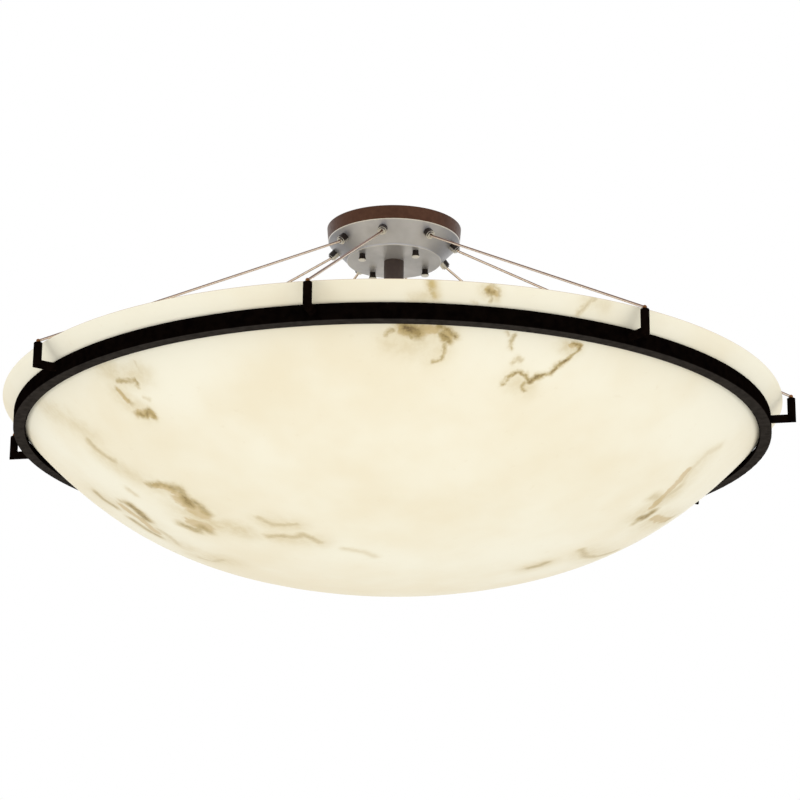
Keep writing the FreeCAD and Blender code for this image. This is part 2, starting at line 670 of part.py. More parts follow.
def lamp_turned(pairs):
    """A solid turned about a lamp's axis, from (distance, radius) corners."""
    return revolved(outline([lamp_point(d, r) for d, r in pairs]), lamp_point(0), Vec(1, 0, 0))


def lampholder():
    lip_start = HOLDER_MOUTH - HOLDER_LIP_L
    solid = lamp_turned([
        (HUB_FLAT, 0), (HUB_FLAT, HOLDER_R - HOLDER_EDGE), (HUB_FLAT + HOLDER_EDGE, HOLDER_R),
        (lip_start, HOLDER_R), (lip_start, HOLDER_LIP_R), (HOLDER_MOUTH, HOLDER_LIP_R),
        (HOLDER_MOUTH, HOLDER_BORE_R), (BORE_END, HOLDER_BORE_R), (BORE_END, 0),
    ])
    start, end = lamp_point(HUB_FLAT - CUT_PAST), lamp_point(HUB_FLAT + HOLDER_NIPPLE_IN + FIT_GAP)
    return solid.cut(cylinder(HOLDER_NIPPLE_R + FIT_GAP, start, end))


def screw_shell():
    outer = HOLDER_BORE_R - FIT_GAP
    start, end = lamp_point(BORE_END + FIT_GAP), lamp_point(HOLDER_MOUTH - SHELL_END_GAP)
    return tube(outer, outer - SHELL_WALL, start, end)


def centre_contact():
    return cylinder(CONTACT_R, lamp_point(BORE_END), lamp_point(BORE_END + CONTACT_H))


def holder_nipple():
    return tube(HOLDER_NIPPLE_R, HOLDER_NIPPLE_BORE_R, lamp_point(HUB_FLAT - HUB_WALL - HOLDER_NIPPLE_OUT),
                lamp_point(HUB_FLAT + HOLDER_NIPPLE_IN))


def holder_nut():
    face = HUB_FLAT - HUB_WALL
    nut = hexagon(HOLDER_NUT_HEX, lamp_point(face - HOLDER_NUT_H), lamp_point(face))
    start, end = lamp_point(face - HOLDER_NUT_H - CUT_PAST), lamp_point(face + CUT_PAST)
    return nut.cut(cylinder(HOLDER_NIPPLE_R + FIT_GAP, start, end))


def lamp_cap():
    """The lamp's screw cap: tip contact, insulator and a rolled thread, drawn as rounds."""
    thread_start = CAP_TIP + CAP_TIP_H + CAP_INSULATOR_H
    corners = [(CAP_TIP, 0), (CAP_TIP, CAP_TIP_R), (CAP_TIP + CAP_TIP_H, CAP_TIP_R + CAP_TIP_STEP),
               (thread_start, CAP_ROOT_R)]
    for turn in range(CAP_TURNS):
        at = thread_start + turn * CAP_PITCH
        corners += [(at + CAP_PITCH * share, CAP_R) for share in CAP_CREST] + [(at + CAP_PITCH, CAP_ROOT_R)]
    flare_start = CAP_END - CAP_FLARE_L
    corners += [(HOLDER_MOUTH, CAP_R), (flare_start, CAP_FLARE_R), (CAP_END, CAP_FLARE_R), (CAP_END, 0)]
    return lamp_turned(corners)


def globe_edges(inset):
    """Neck cone and round end of the globe's section, set in by the wall."""
    radius = GLOBE_R - inset
    neck = lamp_point(GLOBE_BASE, GLOBE_NECK_R - inset)
    centre = lamp_point(GLOBE_BASE + GLOBE_CENTRE)
    to_neck = neck - centre
    angle = math.atan2(to_neck.z, to_neck.x) - math.acos(radius / to_neck.Length)
    touch = centre + Vec(math.cos(angle), 0, math.sin(angle)) * radius
    middle = centre + Vec(math.cos(angle / 2), 0, math.sin(angle / 2)) * radius
    tip = centre + Vec(radius, 0, 0)
    return [Part.LineSegment(neck, touch).toShape(), Part.Arc(touch, middle, tip).toShape()]


def lamp_globe():
    outer, inner = globe_edges(0.0), globe_edges(GLOBE_WALL)
    joins = [Part.LineSegment(outer[-1].Vertexes[-1].Point, inner[-1].Vertexes[-1].Point).toShape(),
             Part.LineSegment(inner[0].Vertexes[0].Point, outer[0].Vertexes[0].Point).toShape()]
    return revolved(Part.__sortEdges__(outer + inner + joins), lamp_point(0), Vec(1, 0, 0))


# ---------------------------------------------------------------- nodes
def main():
    os.makedirs("parts", exist_ok=True)
    export("mounting_plate", mounting_plate())
    export("mounting_studs", *mounting_studs())
    export("stud_nuts", *stud_nuts())
    export("ground_screw", ground_screw())
    export("canopy_band", canopy_band())
    export("canopy_cone", canopy_cone())
    export("canopy_plate", canopy_plate())
    for k, solid in enumerate(thumb_nuts()):
        export("thumb_nut_%d" % (k + 1), solid)

    export("cable_grips", *around(grip(), ARM_COUNT, ARM_ANGLE))
    export("grip_nipples", *around(nipple(), ARM_COUNT, ARM_ANGLE))
    for k, solid in enumerate(around(plunger(), ARM_COUNT, ARM_ANGLE)):
        export("grip_plunger_%d" % (k + 1), solid)
    export("suspension_cables", *around(cable(), ARM_COUNT, ARM_ANGLE))
    export("cable_anchors", *around(anchor(), ARM_COUNT, ARM_ANGLE))

    export("bowl_ring", ring())
    export("ring_arms", *around(arm(), ARM_COUNT, ARM_ANGLE))
    export("arm_screws", *around(arm_screw(), ARM_COUNT, ARM_ANGLE))
    export("bowl", bowl())

    export("stem_tube", stem_tube())
    export("tie_rod", tie_rod())
    export("rod_washer", rod_washer())
    export("rod_locknut", rod_locknut())
    export("lamp_hub", lamp_hub())
    export("hub_cover", hub_cover())
    export("finial_nut", finial())

    export("lampholders", *around(lampholder(), LAMP_COUNT, LAMP_ANGLE))
    export("screw_shells", *around(screw_shell(), LAMP_COUNT, LAMP_ANGLE))
    export("centre_contacts", *around(centre_contact(), LAMP_COUNT, LAMP_ANGLE))
    export("holder_nipples", *around(holder_nipple(), LAMP_COUNT, LAMP_ANGLE))
    export("holder_nuts", *around(holder_nut(), LAMP_COUNT, LAMP_ANGLE))
    for k, solid in enumerate(around(lamp_cap(), LAMP_COUNT, LAMP_ANGLE)):
        export("lamp_cap_%d" % (k + 1), solid)
    for k, solid in enumerate(around(lamp_globe(), LAMP_COUNT, LAMP_ANGLE)):
        export("lamp_globe_%d" % (k + 1), solid)


main()
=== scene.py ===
import json
import math

import bpy
from mathutils import Matrix, Vector


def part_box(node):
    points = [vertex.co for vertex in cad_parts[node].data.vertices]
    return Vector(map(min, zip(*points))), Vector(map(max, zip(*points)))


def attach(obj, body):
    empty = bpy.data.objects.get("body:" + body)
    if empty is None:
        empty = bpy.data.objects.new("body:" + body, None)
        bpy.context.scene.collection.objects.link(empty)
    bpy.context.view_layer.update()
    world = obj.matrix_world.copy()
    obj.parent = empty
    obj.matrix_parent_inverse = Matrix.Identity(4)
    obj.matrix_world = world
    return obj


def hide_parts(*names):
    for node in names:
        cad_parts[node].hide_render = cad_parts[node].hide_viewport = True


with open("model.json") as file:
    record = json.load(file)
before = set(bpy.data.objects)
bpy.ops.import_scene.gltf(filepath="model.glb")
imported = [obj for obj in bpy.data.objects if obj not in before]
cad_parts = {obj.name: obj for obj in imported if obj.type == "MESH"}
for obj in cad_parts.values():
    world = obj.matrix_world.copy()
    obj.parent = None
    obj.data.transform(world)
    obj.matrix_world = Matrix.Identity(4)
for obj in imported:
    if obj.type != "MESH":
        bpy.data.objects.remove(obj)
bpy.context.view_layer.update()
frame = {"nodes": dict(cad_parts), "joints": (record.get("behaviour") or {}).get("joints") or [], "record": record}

NODES = frame["nodes"]
JOINTS = {joint["name"]: joint for joint in frame["joints"]}
FIXED = "fixture"
MM = 0.001

# ---------------------------------------------------------------- camera, fitted to the photograph
# Lengths are in metres and angles in degrees, unless a name or a comment says otherwise.
IMAGE_SIZE = 800
FOCAL_PIXELS = 2648.2
SENSOR_MM = 36.0
CAMERA_REACH = 3.9875
CAMERA_HEIGHT = -1.5735
CAMERA_AZIMUTH = 10.82      # turned so that the arms stand at multiples of 45 degrees
CAMERA_YAW = 0.164
CAMERA_PITCH = 17.866
CAMERA_ROLL = 0.416


def camera_axes():
    """The camera's right, up and forward directions."""
    heading = math.radians(CAMERA_YAW - CAMERA_AZIMUTH)
    pitch, roll = math.radians(CAMERA_PITCH), math.radians(CAMERA_ROLL)
    ahead = Vector((math.sin(heading), math.cos(heading), 0))
    forward = ahead * math.cos(pitch) + Vector((0, 0, math.sin(pitch)))
    level = Vector((math.cos(heading), -math.sin(heading), 0))
    upright = level.cross(forward)
    right = level * math.cos(roll) + upright * math.sin(roll)
    up = upright * math.cos(roll) - level * math.sin(roll)
    return right, up, forward


def camera_place():
    """The camera's place: out from the fixture's axis on the photographed side, and below the ceiling."""
    azimuth = math.radians(CAMERA_AZIMUTH)
    return Vector((CAMERA_REACH * math.sin(azimuth), -CAMERA_REACH * math.cos(azimuth), CAMERA_HEIGHT))


def add_camera():
    right, up, forward = camera_axes()
    data = bpy.data.cameras.new("camera")
    data.sensor_width = SENSOR_MM
    data.lens = FOCAL_PIXELS * SENSOR_MM / IMAGE_SIZE
    camera = bpy.data.objects.new("camera", data)
    turn = Matrix((right, up, -forward)).transposed().to_4x4()
    camera.matrix_world = Matrix.Translation(camera_place()) @ turn
    bpy.context.scene.collection.objects.link(camera)
    bpy.context.scene.camera = camera


add_camera()


# ---------------------------------------------------------------- mesh helpers
def new_piece(name, mesh, material, body, slot, *replaced):
    """Links a mesh as a piece that rides on a body and stands for CAD nodes."""
    piece = bpy.data.objects.new(name, mesh)
    bpy.context.scene.collection.objects.link(piece)
    mesh.materials.append(material)
    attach(piece, body)
    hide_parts(*replaced)


def mesh_from(name, points, faces, smooth=True):
    mesh = bpy.data.meshes.new(name)
    mesh.from_pydata([tuple(p) for p in points], [], faces)
    mesh.polygons.foreach_set("use_smooth", [smooth] * len(mesh.polygons))
    mesh.update()
    return mesh


def swept(centres, section, twist):
    """Points and faces of a tube: a section of (x, y) points carried along centres, with a twist in radians
    a metre."""
    points, faces = [], []
    count = len(section)
    across = Vector((0, 0, 1)).cross(centres[1] - centres[0]).normalized()
    travelled = 0.0
    for index, centre in enumerate(centres):
        before, after = centres[max(index - 1, 0)], centres[min(index + 1, len(centres) - 1)]
        along = (after - before).normalized()
        side = (across - along * across.dot(along)).normalized()
        over = along.cross(side)
        if index:
            travelled += (centre - centres[index - 1]).length
        angle = twist * travelled
        cosine, sine = math.cos(angle), math.sin(angle)
        for x, y in section:
            points.append(centre + side * (x * cosine - y * sine) + over * (x * sine + y * cosine))
    for ring in range(len(centres) - 1):
        for k in range(count):
            a, b = ring * count + k, ring * count + (k + 1) % count
            faces.append((a, b, b + count, a + count))
    faces.append(tuple(range(count))[::-1])
    faces.append(tuple(range(len(points) - count, len(points))))
    return points, faces


def joined(name, shells):
    """One mesh from several (points, faces) shells."""
    points, faces = [], []
    for shell_points, shell_faces in shells:
        offset = len(points)
        points += shell_points
        faces += [tuple(index + offset for index in face) for face in shell_faces]
    return mesh_from(name, points, faces)


# ---------------------------------------------------------------- material helpers
class Graph:
    """Short calls for the nodes of one node tree."""

    def __init__(self, tree):
        self.tree = tree

    def feed(self, socket, value):
        if isinstance(value, bpy.types.NodeSocket):
            self.tree.links.new(value, socket)
        else:
            socket.default_value = value

    def math(self, operation, *values):
        node = self.tree.nodes.new("ShaderNodeMath")
        node.operation = operation
        for socket, value in zip(node.inputs, values):
            self.feed(socket, value)
        return node.outputs[0]

    def vector(self, operation, *values):
        node = self.tree.nodes.new("ShaderNodeVectorMath")
        node.operation = operation
        for socket, value in zip(node.inputs, values):
            self.feed(socket, value)
        return node.outputs["Value" if operation in ("DOT_PRODUCT", "LENGTH", "DISTANCE") else "Vector"]

    def combined(self, x, y, z):
        node = self.tree.nodes.new("ShaderNodeCombineXYZ")
        for socket, value in zip(node.inputs, (x, y, z)):
            self.feed(socket, value)
        return node.outputs[0]

    def scaled(self, value, factor):
        node = self.tree.nodes.new("ShaderNodeVectorMath")
        node.operation = "SCALE"
        self.feed(node.inputs["Vector"], value)
        self.feed(node.inputs["Scale"], factor)
        return node.outputs["Vector"]


class Shader(Graph):
    """A new material and its nodes."""

    def __init__(self, name):
        self.material = bpy.data.materials.new(name)
        self.material.use_nodes = True
        super().__init__(self.material.node_tree)
        self.surface = self.tree.nodes["Principled BSDF"]
        self.place = self.tree.nodes.new("ShaderNodeTexCoord").outputs["Object"]

    def set(self, **values):
        for name, value in values.items():
            self.feed(self.surface.inputs[name.replace("_", " ")], value)

    def noise(self, scale, detail=3.0, rough=0.5, where=None, colour=False):
        node = self.tree.nodes.new("ShaderNodeTexNoise")
        node.inputs["Scale"].default_value = scale
        node.inputs["Detail"].default_value = detail
        node.inputs["Roughness"].default_value = rough
        self.tree.links.new(where or self.place, node.inputs["Vector"])
        return node.outputs["Color" if colour else "Fac"]

    def between(self, value, low, high, to_low=0.0, to_high=1.0, smooth=True):
        node = self.tree.nodes.new("ShaderNodeMapRange")
        node.interpolation_type = "SMOOTHSTEP" if smooth else "LINEAR"
        for name, number in (("From Min", low), ("From Max", high), ("To Min", to_low), ("To Max", to_high)):
            node.inputs[name].default_value = number
        self.feed(node.inputs["Value"], value)
        return node.outputs["Result"]

    def mix(self, amount, low, high):
        node = self.tree.nodes.new("ShaderNodeMix")
        node.data_type = "RGBA"
        self.feed(node.inputs["Factor"], amount)
        self.feed(node.inputs[6], low)
        self.feed(node.inputs[7], high)
        return node.outputs[2]

    def bump(self, height, strength, distance):
        node = self.tree.nodes.new("ShaderNodeBump")
        node.inputs["Strength"].default_value = strength
        node.inputs["Distance"].default_value = distance
        self.tree.links.new(height, node.inputs["Height"])
        self.tree.links.new(node.outputs["Normal"], self.surface.inputs["Normal"])


def shade(red, green, blue):
    return (red, green, blue, 1.0)


UPWARDS = (0.0, 0.0, 1.0)
LEVEL_PART = (1.0, 1.0, 0.0)
FRONT_AZIMUTH = math.radians(CAMERA_AZIMUTH)
FRONT = (math.sin(FRONT_AZIMUTH), -math.cos(FRONT_AZIMUTH), 0.0)     # the side that the photograph shows


def paint_node(name, material):
    """Gives a carried-over CAD node one material in all its slots."""
    mesh = NODES[name].data
    if not mesh.materials:
        mesh.materials.append(material)
    for index in range(len(mesh.materials)):
        mesh.materials[index] = material


def satin_paint(name, dark, light, roughness, specular, metallic=0.0):
    """Sprayed paint on metal: a slight mottle, fine orange peel and a soft shine."""
    shader = Shader(name)
    mottle = shader.between(shader.noise(90.0, 4.0, 0.6), 0.3, 0.7)
    speckle = shader.between(shader.noise(1300.0, 2.0, 0.6), 0.5, 0.8, 0.0, 0.5)
    shader.set(Base_Color=shader.mix(shader.math("MAXIMUM", mottle, speckle), dark, light))
    shader.set(Metallic=metallic, Specular_IOR_Level=specular)
    shader.set(Roughness=shader.between(shader.noise(160.0), 0.3, 0.7, roughness - 0.06, roughness + 0.06))
    shader.bump(shader.noise(1400.0, 2.0, 0.5), 0.2, 0.0001)
    return shader.material


RING_FOOT_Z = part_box("bowl_ring")[0][2]
FLANGE_LIGHT_FADE = (0.3 * MM, 1.5 * MM)      # heights over the ring's foot that the painted light on the flange's underside fades between
FLANGE_REACH = 19.0 * MM                # the ring's outside to its flange's inner edge
INNER_SHADOW_LINE = (1.0 * MM, 1.8 * MM)       # distances out from that edge that its painted shadow line fades between


def ring_bronze():
    """The ring's nearly black bronze, with painted light making the underside of its flange paler, but for a
    painted shadow line along the flange's inner edge."""
    shader = Shader("ring_bronze")
    height = shader.vector("DOT_PRODUCT", shader.place, UPWARDS)
    # painted light: the ring's underside near its foot is drawn paler, as if lit from below
    low = shader.between(height, RING_FOOT_Z + FLANGE_LIGHT_FADE[0], RING_FOOT_Z + FLANGE_LIGHT_FADE[1], 1.0, 0.0)
    mottle = shader.between(shader.noise(90.0, 4.0, 0.6), 0.3, 0.7)
    radius = shader.vector("LENGTH", shader.vector("MULTIPLY", shader.place, LEVEL_PART))
    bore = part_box("bowl_ring")[1][0] - FLANGE_REACH
    # painted shadow: a dark line kept along the flange's inner edge
    inner = shader.between(radius, bore + INNER_SHADOW_LINE[0], bore + INNER_SHADOW_LINE[1])
    face = shader.mix(mottle, shade(0.0012, 0.0007, 0.0006), shade(0.0032, 0.0019, 0.0014))
    # the paler tone of the painted light on the flange's underside
    flange = shader.mix(mottle, shade(0.020, 0.017, 0.0145), shade(0.034, 0.029, 0.025))
    low = shader.math("MULTIPLY", low, inner)
    shader.set(Base_Color=shader.mix(low, face, flange), Specular_IOR_Level=0.0)
    shader.set(Roughness=shader.between(shader.noise(160.0), 0.3, 0.7, 0.42, 0.54))
    shader.bump(shader.noise(1400.0, 2.0, 0.5), 0.2, 0.0001)
    return shader.material


def bronze_with_painted_underlight():
    """Dark bronze with painted light: the faces that look down are drawn as bright bare metal, a painted
    reflection of the light from below.
    """
    shader = Shader("bronze_with_painted_underlight")
    facing = shader.tree.nodes.new("ShaderNodeNewGeometry").outputs["Normal"]
    down = shader.vector("DOT_PRODUCT", facing, (0.0, 0.0, -1.0))
    wobble = shader.between(shader.noise(320.0, 3.0, 0.6), 0.2, 0.8, -0.06, 0.06, False)
    # painted light: faces that look down get the bright metal, a painted reflection of the light from below
    painted_underlight = shader.between(shader.math("ADD", down, wobble), 0.32, 0.5)
    grain = shader.noise(1500.0, 2.0, 0.5)
    bronze = shader.mix(shader.noise(260.0), shade(0.007, 0.005, 0.004), shade(0.020, 0.012, 0.009))
    metal = shader.mix(grain, shade(0.46, 0.44, 0.42), shade(0.74, 0.72, 0.69))
    shader.set(Base_Color=shader.mix(painted_underlight, bronze, metal), Metallic=shader.math("MULTIPLY", painted_underlight, 0.75))
    shader.set(Roughness=shader.between(grain, 0.3, 0.7, 0.26, 0.4), Specular_IOR_Level=0.22)
    shader.bump(grain, 0.1, 0.0001)
    return shader.material


DISC_LOW, DISC_HIGH = (Vector(corner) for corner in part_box("canopy_plate"))
DISC_RADIUS = DISC_HIGH.x
FACE_DEPTH = 1.2 * MM
DISC_Z = DISC_LOW.z + FACE_DEPTH        # the closing plate's face lies below this; the painted sheen keeps its full tone there, up to its rim
SHOULDER_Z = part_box("canopy_band")[0][2]
EDGE_LINE = 1.6 * MM                    # width of the painted highlight lines along the pressed edges
NICKEL_DARK = shade(0.385, 0.38, 0.405)
NICKEL_LIGHT = shade(0.46, 0.455, 0.485)
NICKEL_HIGHLIGHT = shade(0.78, 0.76, 0.72)
NICKEL_PAINTED_SHADE = 0.52                     # how dark the cone's painted sheen falls away to at the sides, as painted shade


def spun_nickel():
    """Satin metal turned on a lathe: fine rings, a cloudy tone, a painted sheen that is full at the front and back
    with painted shade towards the sides, and painted highlight lines along its pressed edges.
    """
    shader = Shader("satin_nickel")
    level = shader.vector("MULTIPLY", shader.place, LEVEL_PART)
    radius = shader.vector("LENGTH", level)
    height = shader.vector("DOT_PRODUCT", shader.place, UPWARDS)
    grain = shader.noise(1800.0, 2.0, 0.6, shader.combined(radius, height, 0.0))
    cloud = shader.between(shader.noise(26.0, 3.0, 0.5), 0.3, 0.7)
    # painted sheen: bright towards the front and back, painted shade at the sides
    painted_sheen = shader.vector("DOT_PRODUCT", shader.vector("NORMALIZE", level), FRONT)
    painted_sheen = shader.between(shader.math("MULTIPLY", painted_sheen, painted_sheen), 0.1, 0.85, NICKEL_PAINTED_SHADE, 1.0)
    painted_sheen = shader.math("MAXIMUM", painted_sheen, shader.between(height, DISC_Z - EDGE_LINE, DISC_Z, 1.0, 0.0))
    colour = shader.scaled(shader.mix(cloud, NICKEL_DARK, NICKEL_LIGHT), painted_sheen)
    # painted highlights: bright lines along the shoulder and the closing plate's rim
    shoulder = shader.between(height, SHOULDER_Z - EDGE_LINE, SHOULDER_Z)
    rim = shader.between(radius, DISC_RADIUS - EDGE_LINE, DISC_RADIUS)
    rim = shader.math("MULTIPLY", rim, shader.between(height, DISC_Z - EDGE_LINE, DISC_Z, 1.0, 0.0))
    colour = shader.mix(shader.math("MAXIMUM", shoulder, rim), colour, NICKEL_HIGHLIGHT)
    shader.set(Base_Color=colour, Metallic=0.5, Specular_IOR_Level=0.4)
    shader.set(Roughness=shader.between(grain, 0.3, 0.7, 0.3, 0.4))
    shader.bump(grain, 0.06, 0.0001)
    return shader.material


def plain_steel(name, dark, light, roughness, scale=300.0):
    """Plated or drawn steel with a fine grain and faint stains."""
    shader = Shader(name)
    stain = shader.between(shader.noise(scale * 0.3, 4.0, 0.6), 0.3, 0.75)
    shader.set(Base_Color=shader.mix(stain, dark, light), Metallic=1.0)
    grain = shader.noise(scale, 3.0)
    shader.set(Roughness=shader.between(grain, 0.3, 0.7, roughness - 0.06, roughness + 0.1))
    shader.bump(shader.noise(scale * 5.0, 2.0), 0.15, 0.0001)
    return shader.material


def rope_with_painted_shade():
    """Bright wire strands, with brown painted shade along the top and the underside of each cable, leaving a
    bright middle band as a painted highlight.
    """
    shader = Shader("rope_steel")
    facing = shader.tree.nodes.new("ShaderNodeNewGeometry").outputs["Normal"]
    up = shader.vector("DOT_PRODUCT", facing, UPWARDS)
    strands = shader.noise(420.0, 3.0, 0.6)
    uneven = shader.math("ADD", up, shader.between(strands, 0.2, 0.8, -0.1, 0.1, False))
    top = shader.between(uneven, -0.05, 0.3)
    under = shader.between(uneven, -0.78, -0.62, 0.8, 0.0)
    wire = shader.mix(shader.between(strands, 0.3, 0.7), shade(0.70, 0.54, 0.42), shade(0.92, 0.82, 0.71))
    # painted shade: the faces that look up and those that look down are drawn brown
    painted_shade = shader.math("MAXIMUM", top, under)
    shader.set(Base_Color=shader.mix(painted_shade, wire, shade(0.12, 0.042, 0.016)), Metallic=0.55)
    shader.set(Roughness=shader.between(strands, 0.3, 0.7, 0.3, 0.42))
    shader.bump(shader.noise(2400.0, 2.0), 0.15, 0.0001)
    return shader.material


def glazed_porcelain():
    """White glaze: nearly even, with faint specks and a slow ripple that the shine picks out."""
    shader = Shader("porcelain")
    specks = shader.between(shader.noise(700.0, 1.0, 0.4), 0.72, 0.8, 0.0, 0.5)
    tone = shader.mix(shader.noise(14.0), shade(0.78, 0.77, 0.72), shade(0.85, 0.84, 0.80))
    shader.set(Base_Color=shader.mix(specks, tone, shade(0.45, 0.42, 0.36)), Specular_IOR_Level=0.6)
    shader.set(Roughness=shader.between(shader.noise(50.0), 0.3, 0.7, 0.1, 0.2))
    shader.bump(shader.noise(60.0, 2.0), 0.1, 0.0004)
    return shader.material


def frosted_glass():
    """Etched lamp glass: a milky skin that lets light through."""
    shader = Shader("frosted_glass")
    frost = shader.noise(1600.0, 2.0, 0.6)
    tone = shader.mix(shader.noise(20.0), shade(0.86, 0.85, 0.82), shade(0.92, 0.91, 0.89))
    shader.set(Base_Color=tone, Roughness=shader.between(frost, 0.3, 0.7, 0.45, 0.65))
    shader.set(Transmission_Weight=0.35, Specular_IOR_Level=0.4)
    shader.bump(frost, 0.15, 0.0001)
    return shader.material


# ---------------------------------------------------------------- the bowl's marbling
RESIN_LIGHT = shade(0.885, 0.84, 0.685)
RESIN_WARM = shade(0.835, 0.75, 0.555)
RESIN_RIM = shade(0.52, 0.40, 0.28)
VEIN_HALO = shade(0.54, 0.40, 0.145)
VEIN_CORE = shade(0.16, 0.11, 0.05)
PATCH_TINT = shade(0.68, 0.56, 0.365)
VEIN_SPREAD, CLOUD_SPREAD = 1.8, 1.6    # drawn widths against those listed, where the bowl is seen square on
CLOUD_STRENGTH = 1.2
FACING_SQUARE, WIDEST = 0.75, 2.2       # a streak seen aslant is drawn wider, up to this factor
COARSE_WANDER, FINE_WANDER = 16.0 * MM, 7.0 * MM
UNSEEN_BACK = 0.36          # past this distance behind the axis, the photograph shows nothing of the bowl
RIM_LINE = 1.1 * MM         # height of the darker line along the rim's edge

# Each streak is a half width in mm, a depth of colour, and a chain of points in the photograph's pixels.
VEINS = [       # thin and dark, with a paler border
    # the long branching vein right of the middle
    (2.6, 0.95, [(573, 342), (580, 346), (577, 351), (571, 357)]),
    (2.6, 0.95, [(571, 357), (563, 362), (556, 367), (551, 373), (543, 376)]),
    (3.2, 1.0, [(543, 376), (536, 378), (531, 381)]),
    (2.6, 0.9, [(531, 381), (526, 374), (520, 372), (513, 374), (508, 377), (505, 383)]),
    (3.0, 0.8, [(526, 383), (524, 387), (526, 391)]),
    (2.2, 0.7, [(515, 334), (512, 340), (511, 348)]),
    (2.6, 0.5, [(514, 363), (518, 358), (522, 361)]),
    # the dark patch under the ring
    (7.5, 1.0, [(406, 328), (411, 330), (418, 333)]),
    (3.0, 0.85, [(410, 333), (413, 338)]),
    (2.4, 0.7, [(392, 329), (387, 331), (386, 335)]),
    (3.6, 0.9, [(439, 326), (447, 331), (455, 337)]),
    (4.0, 0.95, [(442, 333), (446, 339), (449, 342)]),
    (2.4, 0.75, [(447, 342), (444, 348), (443, 356), (440, 359), (433, 361)]),
    (2.0, 0.5, [(506, 331), (509, 334)]),
    # the band above the ring
    (2.6, 0.5, [(430, 280), (432, 288), (431, 296)]),
    (4.2, 0.9, [(488, 292), (492, 294)]),
    (2.4, 0.6, [(492, 285), (499, 290), (499, 297)]),
    (2.2, 0.6, [(490, 296), (490, 303)]),
    (1.8, 0.4, [(472, 302), (476, 304)]),
    (2.6, 0.5, [(596, 299), (589, 303), (584, 307), (578, 314)]),
    # upper left
    (2.8, 0.8, [(120, 380), (128, 380), (136, 380), (139, 385)]),
    (2.0, 0.4, [(136, 362), (141, 373)]),
    (3.4, 0.6, [(119, 389), (124, 394), (129, 400), (134, 405)]),
    (3.6, 0.85, [(140, 415), (147, 416), (151, 411), (156, 417)]),
    (2.2, 0.35, [(146, 397), (152, 400)]),
    # the long faint line at the left
    (2.6, 0.3, [(74, 420), (84, 430), (92, 441)]),
    (3.0, 0.6, [(92, 441), (100, 450), (108, 455), (118, 461)]),
    (4.0, 0.3, [(118, 461), (128, 470), (140, 477)]),
    # the large patch at the lower left
    (3.2, 0.75, [(153, 485), (164, 484), (175, 488)]),
    (4.2, 0.8, [(175, 488), (184, 489), (190, 497)]),
    (4.6, 1.0, [(190, 499), (194, 504)]),
    (3.6, 0.8, [(199, 502), (205, 506), (211, 513)]),
    (3.2, 0.75, [(187, 524), (195, 527), (202, 531), (208, 527), (214, 531)]),
    # the streaks along the left edge
    (3.4, 0.75, [(101, 493), (108, 499), (119, 506)]),
    (3.6, 0.95, [(134, 505), (144, 512), (151, 519)]),
    (2.6, 0.6, [(125, 501), (134, 505)]),
    (3.6, 0.75, [(138, 520), (150, 528), (164, 536)]),
    (2.6, 0.5, [(165, 530), (175, 537), (185, 545)]),
    (2.0, 0.4, [(132, 489), (140, 495)]),
    # the faint bands near the bottom
    (3.0, 0.55, [(265, 518), (271, 522), (277, 525), (290, 525), (301, 524)]),
    (3.0, 0.6, [(275, 537), (290, 536), (301, 537), (308, 535), (316, 538), (325, 542)]),
    (2.4, 0.35, [(351, 549), (358, 550), (369, 552), (380, 556)]),
    (2.2, 0.5, [(206, 558), (218, 561), (230, 560)]),
    # lower right
    (2.8, 0.35, [(722, 447), (712, 452), (704, 460), (697, 468), (690, 477), (684, 487)]),
    (3.2, 0.5, [(684, 487), (676, 493), (668, 498), (661, 504)]),
    (3.0, 0.5, [(657, 497), (664, 500)]),
    (3.6, 0.95, [(656, 513), (650, 517), (646, 518)]),
    (2.4, 0.6, [(646, 518), (640, 523)]),
    (3.2, 0.6, [(671, 521), (676, 518)]),
    (2.8, 0.6, [(587, 550), (592, 556), (601, 557), (612, 554), (621, 551)]),
    (3.2, 0.7, [(536, 568), (545, 566), (552, 563)]),
]
CLOUDS = [      # wide and faint
    (8.0, 0.8, [(403, 328), (412, 331), (419, 334)]),
    (7.0, 0.6, [(420, 328), (436, 329)]),
    (13.0, 0.3, [(392, 342), (410, 346), (428, 340)]),
    (7.0, 0.65, [(438, 329), (450, 335)]),
    (11.0, 0.25, [(430, 355), (441, 350)]),
    (11.0, 0.3, [(515, 380), (528, 388)]),
    (8.0, 0.4, [(567, 345), (575, 349)]),
    (7.0, 0.55, [(488, 290), (494, 296)]),
    (5.5, 0.75, [(433, 281), (434, 295)]),
    (7.0, 0.35, [(430, 296), (416, 299)]),
    (8.0, 0.25, [(590, 300), (604, 305)]),
    (12.0, 0.35, [(108, 370), (124, 378), (142, 374)]),
    (10.0, 0.3, [(120, 390), (130, 402), (146, 412)]),
    (9.0, 0.3, [(50, 409), (74, 421), (92, 434)]),
    (8.0, 0.3, [(106, 456), (124, 468), (142, 478)]),
    (9.0, 0.3, [(160, 487), (182, 494)]),
    (13.0, 0.35, [(196, 510), (204, 520)]),
    (9.0, 0.4, [(216, 524), (234, 527), (248, 531)]),
    (9.0, 0.3, [(104, 496), (130, 508), (152, 522)]),
    (9.0, 0.3, [(150, 527), (172, 538), (190, 547)]),
    (9.0, 0.3, [(206, 558), (232, 560)]),
    (9.0, 0.3, [(272, 522), (300, 526)]),
    (8.0, 0.3, [(285, 538), (322, 541)]),
    (8.0, 0.2, [(706, 460), (686, 486)]),
    (8.0, 0.35, [(674, 497), (655, 508), (645, 514)]),
    (9.0, 0.35, [(657, 520), (673, 520)]),
    (8.0, 0.3, [(590, 552), (612, 555)]),
    (7.0, 0.4, [(538, 567), (550, 564)]),
]
